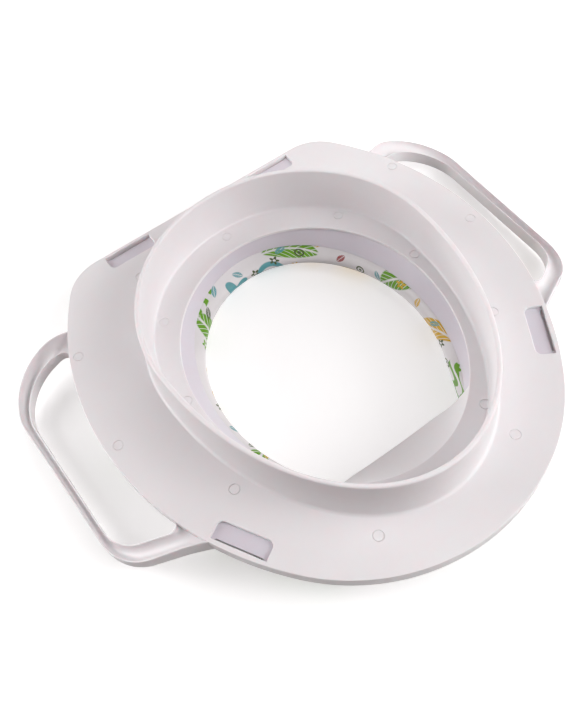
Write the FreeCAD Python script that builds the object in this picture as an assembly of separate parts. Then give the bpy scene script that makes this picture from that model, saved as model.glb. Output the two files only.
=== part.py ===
import FreeCAD, Part
import math
import os

# Padded toilet trainer seat, right way up, +Z up, front (splash guard) towards -Y.
# The rim of the collar rests on z = 0. All sizes are in millimetres.
# The model is laid out from the widest line of the collar and moved to its middle at the end.

# Collar: the oval skirt that drops into the opening of a toilet seat
collar_height = 35.0
collar_half_width = 101.5
collar_front = 152.0
collar_back = 101.0
collar_thickness = 3.2
collar_draft = 1.6
collar_root_radius = 4.0

# Flange: the thin plate that lies on the toilet seat, measured out from the collar
flange_side = 49.5
flange_front = 34.0
flange_back = 31.0
flange_thickness = 2.4
front_roundness = 0.871
side_centre_y = -2.0
back_corner_radius = 34.0

# Outer wall around the flange
wall_thickness = 2.6
wall_height = 10.0

# Ledge: the part of the plate inside the collar, measured in from the collar
ledge_side = 14.1
ledge_front = 22.0
ledge_back = 24.5
ledge_centre_y = -20.0

# Four windows under the snap catches
window_length = 36.0
window_depth = 12.0
window_corner = 4.0
front_window_angle = 30.5
back_window_x = 61.4
catch_reach = 0.9
catch_rise = 2.4
catch_margin = 5.0

# Splash guard
guard_rise = 36.0
guard_lean = 30.5
guard_foot_half_width = 55.0
guard_top_half_width = 50.0
guard_top_bow = 1.5
guard_thickness = 2.2
guard_sink = 1.0
guard_corner_radius = 20.0
guard_gap = 0.4

# Loop handles: channels open to the underside that climb outwards
handle_reach = 37.2
handle_reach_y = 50.0
handle_taper = 0.0557
handle_back_y = 90.2
handle_back_slope = 0.29
handle_front_y = -94.0
handle_front_slope = 0.477
handle_front_radius = 38.0
handle_back_radius = 38.0
grip_width = 6.1
grip_taper = 0.011
back_bar_width = 11.8
front_bar_width = 13.8
handle_root_inset = 21.0
loop_back_inset = 1.0
loop_front_offset = 13.0
loop_front_turn = 0.083
loop_outer_radius = 31.0
loop_front_root_radius = 5.0
loop_back_root_radius = 9.0
loop_front_angle = 16.0
loop_back_angle = 18.0
handle_depth = 15.0
handle_edge_drop = 7.0
handle_edge_run = 3.5
handle_wall = 1.5
handle_roof = 7.0
handle_bend_radius = 40.0
handle_climb = 0.46
handle_start = 13.0

# Tray under the cushion: a thin moulded ring with an upturned inner lip
tray_thickness = 1.8
tray_gap = 0.4
lip_foot_gap = 1.2
lip_front_gap = 3.2
lip_height = 13.6
lip_side_lean = 9.1
lip_back_lean = 1.2
lip_front_lean = 1.5
lip_centre_shift = -5.0

# Cushion: foam ring under a printed cover
cushion_rise = 29.0
cushion_inset = 4.6
cushion_edge_radius = 13.0
bulge_side = 4.0
bulge_back = 11.0
bulge_front = 13.0

# Round moulding marks on the underside
mark_radius = 3.7
mark_width = 0.7
mark_depth = 0.3
mark_side_y = -8.0
mark_back_shift = 2.5
mark_ledge_outset = 5.0
mark_ledge_share = 0.84
mark_ledge_y = 54.0
mark_front_x = 51.0
mark_front_inset = 6.3
mark_front_shift = 19.8
mark_diagonal = (100.5, -76.5)
mark_side_inset = 8.4
mark_rear_inset = 18.0
mark_rear_y = 66.5
mark_corner_x = 67.0
mark_corner_inset = 33.5

# How far pieces that are fused reach into each other, and cutters past what they cut
fuse_depth = 1.0
overcut = 2.0
slab_margin = 10.0

V = FreeCAD.Vector
up = V(0, 0, 1)

half_width = collar_half_width + flange_side
front_reach = collar_front + flange_front
back_reach = collar_back + flange_back
z_flange = collar_height
z_plate = z_flange + flange_thickness
z_wall = z_flange + wall_height
z_tray = z_plate + tray_thickness

ledge_half_width = collar_half_width - ledge_side
ledge_front_y = -(collar_front - ledge_front)
ledge_back_y = collar_back - ledge_back

# Three tangent circles on each side carry the outline of the flange
front_radius = front_roundness * half_width
front_centre = V(0, front_radius - front_reach, 0)
rise_y = side_centre_y - front_centre.y
side_radius = (half_width ** 2 + rise_y ** 2 - front_radius ** 2) / (2 * (half_width - front_radius))
side_centre = V(half_width - side_radius, side_centre_y, 0)
corner_drop = back_reach - back_corner_radius - side_centre_y
corner_x = side_centre.x + math.sqrt((side_radius - back_corner_radius) ** 2 - corner_drop ** 2)
corner_centre = V(corner_x, back_reach - back_corner_radius, 0)


def on_circle(centre, radius, angle, z):
    return V(centre.x + radius * math.cos(angle), centre.y + radius * math.sin(angle), z)


def flip(point):
    return V(-point.x, point.y, point.z)


def outline(inset, z):
    """Closed outline of the flange, moved in by inset, at height z."""
    to_front = front_centre - side_centre
    to_corner = corner_centre - side_centre
    a_front = math.atan2(to_front.y, to_front.x)
    a_corner = math.atan2(to_corner.y, to_corner.x)
    down = -math.pi / 2
    front = on_circle(front_centre, front_radius - inset, down, z)
    front_mid = on_circle(front_centre, front_radius - inset, (down + a_front) / 2, z)
    front_end = on_circle(front_centre, front_radius - inset, a_front, z)
    side_mid = on_circle(side_centre, side_radius - inset, (a_front + a_corner) / 2, z)
    side_end = on_circle(side_centre, side_radius - inset, a_corner, z)
    corner_mid = on_circle(corner_centre, back_corner_radius - inset, (a_corner + math.pi / 2) / 2, z)
    corner_end = on_circle(corner_centre, back_corner_radius - inset, math.pi / 2, z)
    edges = [
        Part.Arc(front, front_mid, front_end).toShape(),
        Part.Arc(front_end, side_mid, side_end).toShape(),
        Part.Arc(side_end, corner_mid, corner_end).toShape(),
        Part.makeLine(corner_end, flip(corner_end)),
        Part.Arc(flip(corner_end), flip(corner_mid), flip(side_end)).toShape(),
        Part.Arc(flip(side_end), flip(side_mid), flip(front_end)).toShape(),
        Part.Arc(flip(front_end), flip(front_mid), front).toShape(),
    ]
    return Part.Wire(edges)


def half_oval(half, reach, centre_y, z, side):
    """Half ellipse towards +Y (side 1) or -Y (side -1)."""
    centre = V(0, centre_y, z)
    if abs(half - reach) < 0.01:
        ends = V(side * half, centre_y, z), V(-side * half, centre_y, z)
        return Part.Arc(ends[0], V(0, centre_y + side * half, z), ends[1]).toShape()
    if reach > half:
        curve = Part.Ellipse(V(0, centre_y + side * reach, z), V(-side * half, centre_y, z), centre)
        return Part.ArcOfEllipse(curve, -math.pi / 2, math.pi / 2).toShape()
    curve = Part.Ellipse(V(half, centre_y, z), V(0, centre_y + reach, z), centre)
    start = 0 if side > 0 else math.pi
    return Part.ArcOfEllipse(curve, start, start + math.pi).toShape()


def oval(half, front_y, back_y, centre_y, z):
    """Closed oval made of two half ellipses."""
    back = half_oval(half, back_y - centre_y, centre_y, z, 1)
    front = half_oval(half, centre_y - front_y, centre_y, z, -1)
    return Part.Wire([back, front])


def prism(wire, height):
    return Part.Face(wire).extrude(V(0, 0, height))


def meet(p, slope_p, q, slope_q):
    """Point where the line y = slope_p through p meets x = slope_q through q."""
    y = (p.y + slope_p * (q.x - slope_q * q.y - p.x)) / (1 - slope_p * slope_q)
    return V(q.x + slope_q * (y - q.y), y, 0)


def rounded(corners, z):
    """Closed wire through corners given as (point, radius)."""
    count = len(corners)
    cuts = []
    for i in range(count):
        point, radius = corners[i]
        before = (corners[i - 1][0] - point).normalize()
        after = (corners[(i + 1) % count][0] - point).normalize()
        half_angle = before.getAngle(after) / 2
        run = radius / math.tan(half_angle)
        middle = (before + after).normalize() * (radius / math.sin(half_angle) - radius)
        cuts.append((point + before * run, point + middle, point + after * run))
    lift = V(0, 0, z)
    edges = []
    for i in range(count):
        start, mid, end = cuts[i]
        edges.append(Part.Arc(start + lift, mid + lift, end + lift).toShape())
        following = cuts[(i + 1) % count][0]
        if (following - end).Length > 0.001:
            edges.append(Part.makeLine(end + lift, following + lift))
    return Part.Wire(edges)


# Collar with draft: wider at the plate than at the rim
def collar_section(inset, z):
    return oval(collar_half_width - inset, inset - collar_front, collar_back - inset, 0, z)


collar = Part.makeLoft([collar_section(0, 0), collar_section(-collar_draft, z_flange)], True, True)
bore = Part.makeLoft(
    [collar_section(collar_thickness, 0), collar_section(collar_thickness + 0.4, z_flange)], True, True
)
collar = collar.cut(bore)

# Plate with the outer wall standing on its edge
plate = prism(outline(0, z_flange), wall_height)
plate = plate.cut(prism(outline(wall_thickness, z_plate), wall_height))
ledge_hole = prism(oval(ledge_half_width, ledge_front_y, ledge_back_y, ledge_centre_y, 0), z_wall)
plate = plate.cut(ledge_hole)
base = plate.fuse(collar)


def on_collar_root(edge):
    """True for the edges where the outer side of the collar meets the flange."""
    mid = edge.valueAt((edge.FirstParameter + edge.LastParameter) / 2)
    away = Part.Vertex(mid).distToShape(collar_section(-collar_draft, z_flange))[0]
    return away < 0.05


base = base.makeFillet(collar_root_radius, [edge for edge in base.Edges if on_collar_root(edge)])


# Windows and the snap catches above them
def window_frame(middle, angle):
    """Placement with local x along the outward direction of the wall."""
    return FreeCAD.Placement(middle, FreeCAD.Rotation(up, math.degrees(angle)))


def window_cut():
    half = window_length / 2
    corners = [
        (V(-window_depth, -half, 0), window_corner),
        (V(0, -half, 0), 0.3),
        (V(0, half, 0), 0.3),
        (V(-window_depth, half, 0), window_corner),
    ]
    wire = rounded(corners, -overcut / 2)
    return prism(wire, flange_thickness + overcut)


def catch(sink):
    """Wedge on the inner face of the wall; sink is how far it starts inside the wall."""
    low = z_tray + tray_gap - z_flange
    profile = Part.makePolygon([
        V(sink, 0, low),
        V(-catch_reach, 0, low),
        V(-catch_reach, 0, low + 0.6),
        V(sink, 0, low + catch_rise),
        V(sink, 0, low),
    ])
    length = window_length - 2 * catch_margin
    body = Part.Face(profile).extrude(V(0, length, 0))
    body.translate(V(0, -length / 2, 0))
    return body


window_half = window_length / 2
inner_radius = side_radius - wall_thickness
chord_drop = inner_radius - math.sqrt(inner_radius ** 2 - window_half ** 2)
front_turn = -math.radians(front_window_angle)
front_middle = on_circle(side_centre, inner_radius - chord_drop, front_turn, z_flange)
back_middle = V(back_window_x, back_reach - wall_thickness, z_flange)
catch_places = (
    (front_middle, front_turn, chord_drop + fuse_depth),
    (back_middle, math.pi / 2, fuse_depth),
)
for middle, angle, sink in catch_places:
    for side in (1, -1):
        place = window_frame(V(side * middle.x, middle.y, middle.z), angle if side > 0 else math.pi - angle)
        hole = window_cut()
        hole.Placement = place
        lug = catch(sink)
        lug.Placement = place
        base = base.cut(hole).fuse(lug)


# Splash guard: a plate ruled from the front of the ledge to a nearly straight top edge
def ledge_y(x, grow):
    share = x / (ledge_half_width + grow)
    return ledge_centre_y + (ledge_front_y - grow - ledge_centre_y) * math.sqrt(1 - share ** 2)


guard_run = guard_thickness * math.hypot(guard_rise, guard_lean) / guard_rise
z_guard = z_flange + guard_rise


def guard_section(half, y_side, y_middle, front, back, z):
    inner = Part.Arc(V(-half, y_side + back, z), V(0, y_middle + back, z), V(half, y_side + back, z)).toShape()
    outer = Part.Arc(V(half, y_side - front, z), V(0, y_middle - front, z), V(-half, y_side - front, z)).toShape()
    right = Part.makeLine(V(half, y_side + back, z), V(half, y_side - front, z))
    left = Part.makeLine(V(-half, y_side - front, z), V(-half, y_side + back, z))
    return Part.Wire([inner, right, outer, left])


def guard_body(gap, back):
    """The guard itself, or with a gap around it and some depth behind it the room it needs."""
    foot_side_y = ledge_y(guard_foot_half_width, guard_sink)
    foot_y = ledge_front_y - guard_sink
    top_y = ledge_front_y + guard_lean
    front = guard_run + gap
    foot_half = guard_foot_half_width + gap
    top_half = guard_top_half_width + gap
    foot = guard_section(foot_half, foot_side_y, foot_y, front, back, z_flange)
    head = guard_section(top_half, top_y + guard_top_bow, top_y, front, back, z_guard)
    front_view = rounded(
        [
            (V(-foot_half - 1, z_flange - 1, 0), 0.5),
            (V(foot_half + 1, z_flange - 1, 0), 0.5),
            (V(top_half, z_guard + gap, 0), guard_corner_radius + gap),
            (V(-top_half, z_guard + gap, 0), guard_corner_radius + gap),
        ],
        0,
    )
    trim = Part.Face(front_view).extrude(V(0, 0, front_reach))
    trim.rotate(V(0, 0, 0), V(1, 0, 0), 90)
    return Part.makeLoft([foot, head], True, True).common(trim)


base = base.fuse(guard_body(0, 0))


# Loop handles
grip_outer = V(half_width + handle_reach, handle_reach_y, 0)
grip_inner = V(grip_outer.x - grip_width, handle_reach_y, 0)
inner_taper = handle_taper - grip_taper
root_x = half_width - handle_root_inset
back_root_run = handle_root_inset - loop_back_inset
front_root_run = handle_root_inset + loop_front_offset
back_outer = V(root_x, handle_back_y, 0)
front_outer = V(root_x, handle_front_y, 0)
back_inner = back_outer + V(back_root_run, handle_back_slope * back_root_run - back_bar_width, 0)
front_inner = front_outer + V(front_root_run, handle_front_slope * front_root_run + front_bar_width, 0)
front_inner_slope = handle_front_slope + loop_front_turn


def handle_outer(inset, z):
    """Outer contour of a handle, closed inside the flange."""
    tilt_back = math.hypot(1, handle_back_slope)
    tilt_front = math.hypot(1, handle_front_slope)
    tilt_grip = math.hypot(1, handle_taper)
    back = back_outer - V(0, inset * tilt_back, 0)
    front = front_outer + V(0, inset * tilt_front, 0)
    grip = grip_outer - V(inset * tilt_grip, 0, 0)
    far_back = meet(back, handle_back_slope, grip, handle_taper)
    far_front = meet(front, handle_front_slope, grip, handle_taper)
    inside_x = side_centre.x + side_radius * 0.8
    near_back = V(inside_x, back.y + handle_back_slope * (inside_x - back.x), 0)
    near_front = V(inside_x, front.y + handle_front_slope * (inside_x - front.x), 0)
    front_corner = (far_front, handle_front_radius - inset)
    back_corner = (far_back, handle_back_radius - inset)
    return rounded([(near_front, 1), front_corner, back_corner, (near_back, 1)], z)


def handle_loop(grow, z):
    """Contour of the hand opening between handle and flange."""
    back = back_inner + V(0, grow, 0)
    front = front_inner - V(0, grow * math.hypot(1, front_inner_slope), 0)
    grip = grip_inner + V(grow * math.hypot(1, inner_taper), 0, 0)
    far_back = meet(back, 0, grip, inner_taper)
    far_front = meet(front, front_inner_slope, grip, inner_taper)
    low = -math.radians(loop_front_angle)
    high = math.radians(loop_back_angle)
    radius = side_radius - grow
    low_point = on_circle(side_centre, radius, low, 0)
    high_point = on_circle(side_centre, radius, high, 0)
    middle = on_circle(side_centre, radius / math.cos((high - low) / 2), (high + low) / 2, 0)
    near_front = meet(front, front_inner_slope, low_point, math.tan(-low))
    near_back = meet(back, 0, high_point, math.tan(-high))
    corner = loop_outer_radius + grow
    corners = [
        (near_front, loop_front_root_radius + grow),
        (far_front, corner),
        (far_back, corner),
        (near_back, loop_back_root_radius + grow),
        (middle, radius),
    ]
    return rounded(corners, z)


def climb_z(x):
    return max(0.0, handle_climb * (x - half_width + handle_start))


def slab(low, high):
    """Space between two levels above the climbing underside of the handle."""
    near_x = side_centre.x + side_radius * 0.7
    bend_x = half_width - handle_start
    far_x = half_width + handle_reach + slab_margin
    span = back_reach + front_reach
    corners = [
        (V(near_x, z_flange + low, 0), 0.5),
        (V(bend_x, z_flange + low, 0), handle_bend_radius),
        (V(far_x, z_flange + climb_z(far_x) + low, 0), 0.5),
        (V(far_x, z_flange + climb_z(far_x) + high, 0), 0.5),
        (V(bend_x, z_flange + high, 0), handle_bend_radius),
        (V(near_x, z_flange + high, 0), 0.5),
    ]
    body = Part.Face(rounded(corners, -span / 2)).extrude(V(0, 0, span))
    body.rotate(V(0, 0, 0), V(1, 0, 0), 90)
    return body


def on_outer_top(edge):
    """True for the upper edges of the outer side of a handle."""
    mid = edge.valueAt((edge.FirstParameter + edge.LastParameter) / 2)
    away = Part.Vertex(mid.x, mid.y, 0).distToShape(handle_outer(0, 0))[0]
    level = mid.z - z_flange - climb_z(mid.x)
    start = edge.valueAt(edge.FirstParameter)
    end = edge.valueAt(edge.LastParameter)
    flat = math.hypot(start.x - end.x, start.y - end.y)
    return away < 0.01 and level > handle_depth / 2 and flat > 1.0


tall = z_wall + handle_climb * (handle_reach + handle_start) + handle_depth
handle = prism(handle_outer(0, 0), tall).cut(prism(handle_loop(0, -overcut / 2), tall + overcut))
handle = handle.common(slab(0, handle_depth))
handle = handle.cut(prism(outline(fuse_depth, z_flange - overcut), tall))
outer_top = [edge for edge in handle.Edges if on_outer_top(edge)]
handle = handle.makeChamfer(handle_edge_drop, handle_edge_run, outer_top)
channel = prism(handle_outer(handle_wall, 0), tall)
channel = channel.cut(prism(handle_loop(handle_wall, -overcut / 2), tall + overcut))
channel = channel.common(slab(-overcut / 2, handle_depth - handle_roof))
channel = channel.cut(prism(outline(0, z_flange - overcut), tall))
handle = handle.cut(channel)
mirrored = handle.mirror(V(0, 0, 0), V(1, 0, 0))
base = base.fuse([handle, mirrored])

# Moulding marks: shallow rings in the underside of flange and ledge
marks = [
    (0.0, (ledge_back_y + collar_back - collar_thickness) / 2 + mark_back_shift),
    (ledge_half_width + mark_ledge_outset, mark_side_y),
    (mark_ledge_share * ledge_half_width, mark_ledge_y),
    (mark_front_x, ledge_front_y + mark_front_inset),
    (mark_front_x, -(collar_front + front_reach) / 2 + mark_front_shift),
    mark_diagonal,
    (half_width - mark_side_inset, mark_side_y),
    (half_width - mark_rear_inset, mark_rear_y),
    (mark_corner_x, back_reach - mark_corner_inset),
]
tool = Part.makeCylinder(mark_radius, mark_depth * 2, V(0, 0, -mark_depth))
tool = tool.cut(Part.makeCylinder(mark_radius - mark_width, mark_depth * 2, V(0, 0, -mark_depth)))
rings = []
for x, y in marks:
    for side in (1, -1) if x > 0 else (1,):
        ring = tool.copy()
        ring.translate(V(side * x, y, z_flange))
        rings.append(ring)
base = base.cut(Part.makeCompound(rings))
base = base.removeSplitter()


# Tray under the cushion
def lip_section(grow, share, z):
    half = ledge_half_width + lip_foot_gap + grow - share * lip_side_lean
    front_y = ledge_front_y - lip_front_gap - grow + share * lip_front_lean
    back_y = ledge_back_y + lip_foot_gap + grow - share * lip_back_lean
    return oval(half, front_y, back_y, ledge_centre_y + share * lip_centre_shift, z)


z_seam = z_plate + lip_height
tray = prism(outline(wall_thickness + tray_gap, z_plate), tray_thickness)
lip = Part.makeLoft([lip_section(tray_thickness, 0, z_plate), lip_section(tray_thickness, 1, z_seam)], True, True)
lip_void = Part.makeLoft([lip_section(0, 0, z_plate), lip_section(0, 1, z_seam)], True, True)
tray = tray.fuse(lip).cut(lip_void).cut(guard_body(guard_gap, 2)).removeSplitter()


# Cushion ring
def bulge_section(share, z):
    half = ledge_half_width + lip_foot_gap - lip_side_lean - share * bulge_side
    front_y = ledge_front_y - lip_front_gap + lip_front_lean + share * bulge_front
    back_y = ledge_back_y + lip_foot_gap - lip_back_lean - share * bulge_back
    return oval(half, front_y, back_y, ledge_centre_y + lip_centre_shift, z)


z_crown = z_tray + cushion_rise
upper = z_crown - z_seam
pad = prism(outline(cushion_inset, z_tray), cushion_rise)
top_edges = [edge for edge in pad.Edges if abs(edge.CenterOfMass.z - z_crown) < 0.01]
pad = pad.makeFillet(cushion_edge_radius, top_edges)
throat = Part.makeLoft(
    [
        bulge_section(0.0, z_seam),
        bulge_section(0.7, z_seam + 0.17 * upper),
        bulge_section(1.0, z_seam + 0.4 * upper),
        bulge_section(0.75, z_seam + 0.68 * upper),
        bulge_section(-0.1, z_seam + 0.9 * upper),
        bulge_section(-1.0, z_crown + 0.2),
    ],
    True,
    False,
)
lower_void = Part.makeLoft(
    [lip_section(tray_thickness, 0, z_plate), lip_section(tray_thickness, 1, z_seam)], True, True
)
pad = pad.cut(throat).cut(lower_void).cut(guard_body(guard_gap, guard_lean / 2))

# The origin lies below the middle of the outline
to_middle = V(0, (front_reach - back_reach) / 2, 0)
for shape in (base, tray, pad):
    shape.translate(to_middle)

os.makedirs("parts", exist_ok=True)
base.exportStep("parts/base.step")
tray.exportStep("parts/cushion_tray.step")
pad.exportStep("parts/cushion.step")
for name, shape in (("base", base), ("cushion_tray", tray), ("cushion", pad)):
    box = shape.optimalBoundingBox(False)
    print(name, shape.ShapeType, len(shape.Solids), shape.isValid(), round(shape.Volume / 1000, 1), "cm3")
    print("   ", [round(v, 1) for v in (box.XMin, box.XMax, box.YMin, box.YMax, box.ZMin, box.ZMax)])
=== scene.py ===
import math

import bmesh
import bpy
import numpy as np
from mathutils import Matrix, Vector


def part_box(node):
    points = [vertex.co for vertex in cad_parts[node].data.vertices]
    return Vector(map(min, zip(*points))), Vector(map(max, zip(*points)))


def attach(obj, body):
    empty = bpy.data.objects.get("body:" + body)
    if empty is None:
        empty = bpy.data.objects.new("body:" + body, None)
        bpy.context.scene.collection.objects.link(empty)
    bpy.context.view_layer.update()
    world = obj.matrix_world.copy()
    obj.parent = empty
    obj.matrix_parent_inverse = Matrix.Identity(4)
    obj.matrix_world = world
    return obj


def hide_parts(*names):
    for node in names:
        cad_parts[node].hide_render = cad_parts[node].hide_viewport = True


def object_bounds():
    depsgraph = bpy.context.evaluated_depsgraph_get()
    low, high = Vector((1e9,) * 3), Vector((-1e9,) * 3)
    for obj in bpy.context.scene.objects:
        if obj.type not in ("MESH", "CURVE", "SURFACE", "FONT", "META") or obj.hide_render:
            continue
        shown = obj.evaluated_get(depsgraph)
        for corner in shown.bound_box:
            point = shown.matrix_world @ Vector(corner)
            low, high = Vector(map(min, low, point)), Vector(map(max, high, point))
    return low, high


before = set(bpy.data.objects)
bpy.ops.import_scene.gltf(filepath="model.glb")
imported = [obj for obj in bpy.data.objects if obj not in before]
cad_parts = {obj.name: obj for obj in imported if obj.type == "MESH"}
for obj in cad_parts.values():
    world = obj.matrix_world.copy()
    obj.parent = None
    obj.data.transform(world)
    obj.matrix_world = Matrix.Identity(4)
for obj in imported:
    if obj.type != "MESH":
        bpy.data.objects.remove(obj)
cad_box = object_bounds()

bl_info = {
    "name": "Toilet trainer seat",
    "version": (1, 0, 0),
    "blender": (4, 5, 0),
    "location": "View3D > Sidebar > Trainer seat",
    "description": "Models the moulded shell, the cushion tray and the printed cushion of a trainer seat",
    "category": "Object",
}

# The pieces' sizes are millimetres until they become points; the stage and the settings are in metres
MM = 0.001
base_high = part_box("base")[1]
tray_low, tray_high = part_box("cushion_tray")
pad_low, pad_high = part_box("cushion")

# Levels, read from the frame
wall_height = 10.0
flange_thickness = 2.4
z_plate = tray_low.z / MM
z_flange = z_plate - flange_thickness
z_wall = z_flange + wall_height
z_seam = tray_high.z / MM
z_tray = pad_low.z / MM
z_crown = pad_high.z / MM

# Outline of the flange: three tangent circles on each side
tray_inset = 3.0
half_width = tray_high.x / MM + tray_inset
front_reach = 186.0
back_reach = 132.0
front_roundness = 0.871
side_centre_y = -2.0
back_corner_radius = 34.0
wall_thickness = 2.6
middle_y = base_high.y / MM - back_reach
shell_edge_radius = 0.55
wall_edge_radius = 0.9

# Collar and ledge
collar_half_width = 101.5
collar_front = 152.0
collar_back = 101.0
collar_thickness = 3.2
collar_draft = 1.6
bore_draft = 0.4
collar_rim_radius = 1.3
collar_root_radius = 2.2
bore_root_radius = 1.6
ledge_half_width = 87.4
ledge_front_y = -130.0
ledge_back_y = 76.5
ledge_centre_y = -20.0

# Windows and snap catches
window_length = 36.0
window_depth = 12.0
window_corner = 4.0
window_edge_radius = 0.6
front_window_angle = 30.5
back_window_x = 61.4
catch_length = 26.0
catch_reach = 0.9
catch_nose = 0.6
catch_rise = 2.4
catch_gap = 0.4
catch_root = 1.0
notch_length = 33.0
notch_depth = 1.6
notch_corner = 1.5

# Splash guard
guard_rise = 36.0
guard_lean = 30.5
guard_foot_half_width = 55.0
guard_top_half_width = 50.0
guard_top_bow = 1.5
guard_thickness = 2.2
guard_sink = 1.0
guard_corner_radius = 20.0
guard_edge_radius = 0.8
guard_gap = 0.4
guard_room_back = 2.0
guard_run = guard_thickness * math.hypot(guard_rise, guard_lean) / guard_rise

# Loop handles
handle_reach = 37.2
handle_reach_y = 50.0
handle_taper = 0.0557
handle_back_y = 90.2
handle_back_slope = 0.29
handle_front_y = -94.0
handle_front_slope = 0.477
handle_corner_radius = 38.0
handle_root_inset = 21.0
grip_width = 6.1
grip_taper = 0.011
back_bar_width = 11.8
front_bar_width = 13.8
loop_corner_radius = 31.0
loop_front_root_radius = 5.0
loop_back_root_radius = 9.0
loop_front_angle = 16.0
loop_back_angle = 18.0
loop_back_inset = 1.0
loop_front_offset = 13.0
loop_front_turn = 0.083
loop_front_tail = 9.0
loop_back_tail = 13.0
handle_sunk = 1.2
handle_bend_radius = 40.0
handle_climb = 0.46
handle_start = 13.0
handle_depth = 15.0
handle_wall = 1.1
handle_edge_radius = 0.35
handle_top_corner = 1.6
channel_depth = 4.2

# How much shorter the inner wall of the handle is, from its front root to its back root
handle_lift_places = (0.0, 0.2, 0.4, 0.6, 0.8, 0.92, 1.0)
handle_lifts = (0.8, 1.2, 3.4, 4.0, 4.6, 6.5, 7.5)

# Tray lip and cushion
tray_thickness = 1.8
lip_foot_gap = 1.2
lip_front_gap = 3.2
lip_side_lean = 9.1
lip_back_lean = 1.2
lip_front_lean = 1.5
lip_centre_shift = -5.0
cushion_inset = 4.6
cushion_edge_radius = 13.0
bulge_side = 4.0
bulge_back = 11.0
bulge_front = 13.0
crown_sag = 0.9
cushion_lift = 0.05
cushion_under_inset = 2.2
cushion_guard_gap = 0.8

# Moulding marks
mark_radius = 3.7
mark_width = 0.85
mark_depth = 0.45

# Points round each loop of the ring-shaped pieces, seen from this place inside them
ring_count = 288
eye = np.array((0.0, -20.0))

# A slanting direction, along which no two points of a mesh lie level
sorting_direction = Vector((0.61, 0.37, 0.23))

front_radius = front_roundness * half_width
front_centre = np.array((0.0, front_radius - front_reach))
rise_y = side_centre_y - front_centre[1]
side_radius = (half_width ** 2 + rise_y ** 2 - front_radius ** 2) / (2 * (half_width - front_radius))
side_centre = np.array((half_width - side_radius, side_centre_y))
corner_drop = back_reach - back_corner_radius - side_centre_y
corner_x = side_centre[0] + math.sqrt((side_radius - back_corner_radius) ** 2 - corner_drop ** 2)
corner_centre = np.array((corner_x, back_reach - back_corner_radius))


def arc(centre, radius, start, end, count):
    """Points on a circle from one angle to another."""
    turn = np.linspace(start, end, count)
    return np.stack((centre[0] + radius * np.cos(turn), centre[1] + radius * np.sin(turn)), 1)


def mirrored(points):
    return points[::-1] * np.array((-1.0, 1.0))


def outline_curve(inset):
    """Closed outline of the flange, moved in by inset."""
    to_front = front_centre - side_centre
    to_corner = corner_centre - side_centre
    a_front = math.atan2(to_front[1], to_front[0])
    a_corner = math.atan2(to_corner[1], to_corner[0])
    back_end = np.array(((corner_centre[0], back_reach - inset),))
    back_line = np.linspace(back_end[0], back_end[0] * np.array((0.0, 1.0)), 120)
    half = np.concatenate((
        arc(front_centre, front_radius - inset, -math.pi / 2, a_front, 400),
        arc(side_centre, side_radius - inset, a_front, a_corner, 500),
        arc(corner_centre, back_corner_radius - inset, a_corner, math.pi / 2, 200),
        back_line,
    ))
    return np.concatenate((half, mirrored(half)))


def oval_curve(half, front_y, back_y, centre_y):
    """Closed oval made of two half ellipses."""
    turn = np.linspace(-math.pi, math.pi, 1441)
    reach = np.where(turn > 0, back_y - centre_y, centre_y - front_y)
    return np.stack((half * np.cos(turn), centre_y + reach * np.sin(turn)), 1)


def collar_curve(inset, z):
    grow = collar_draft * z / z_flange - inset
    return oval_curve(collar_half_width + grow, -collar_front - grow, collar_back + grow, 0.0)


def bore_curve(inset, z):
    deep = collar_thickness + inset + bore_draft * z / z_flange
    return oval_curve(collar_half_width - deep, deep - collar_front, collar_back - deep, 0.0)


def ledge_curve(grow):
    return oval_curve(ledge_half_width + grow, ledge_front_y - grow, ledge_back_y + grow, ledge_centre_y)


def lip_curve(grow, share):
    half = ledge_half_width + lip_foot_gap + grow - share * lip_side_lean
    front_y = ledge_front_y - lip_front_gap - grow + share * lip_front_lean
    back_y = ledge_back_y + lip_foot_gap + grow - share * lip_back_lean
    return oval_curve(half, front_y, back_y, ledge_centre_y + share * lip_centre_shift)


def bulge_curve(share):
    half = ledge_half_width + lip_foot_gap - lip_side_lean - share * bulge_side
    front_y = ledge_front_y - lip_front_gap + lip_front_lean + share * bulge_front
    back_y = ledge_back_y + lip_foot_gap - lip_back_lean - share * bulge_back
    return oval_curve(half, front_y, back_y, ledge_centre_y + lip_centre_shift)


def ring_points(curve, z):
    """One loop of the ring: where rays from the eye meet the curve, at height z."""
    turn = np.linspace(-math.pi, math.pi, ring_count, endpoint=False) + math.pi / ring_count
    offset = curve - eye
    reach = np.hypot(offset[:, 0], offset[:, 1])
    distance = np.interp(turn, np.arctan2(offset[:, 1], offset[:, 0]), reach, period=2 * math.pi)
    flat = eye + distance[:, None] * np.stack((np.cos(turn), np.sin(turn)), 1)
    return np.column_stack((flat, np.full(ring_count, z)))


def in_frame(points):
    """Layout points in millimetres as points of the frame in metres."""
    return (np.asarray(points, float) + np.array((0.0, middle_y, 0.0))) * MM


# Editing helpers
def deselect_all():
    if bpy.context.mode != "OBJECT":
        bpy.ops.object.mode_set(mode="OBJECT")
    bpy.ops.object.select_all(action="DESELECT")


def activate(piece):
    deselect_all()
    piece.select_set(True)
    bpy.context.view_layer.objects.active = piece


def put_in_order(mesh):
    """Sorts the lists of points, edges and faces by place, so that every run works on the same ones."""
    mesh.verts.sort(key=lambda vert: vert.co.dot(sorting_direction))
    mesh.edges.sort(key=lambda edge: (edge.verts[0].co + edge.verts[1].co).dot(sorting_direction))
    mesh.faces.sort(key=lambda face: face.calc_center_median().dot(sorting_direction))
    for items in (mesh.verts, mesh.edges, mesh.faces):
        items.index_update()


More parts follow.
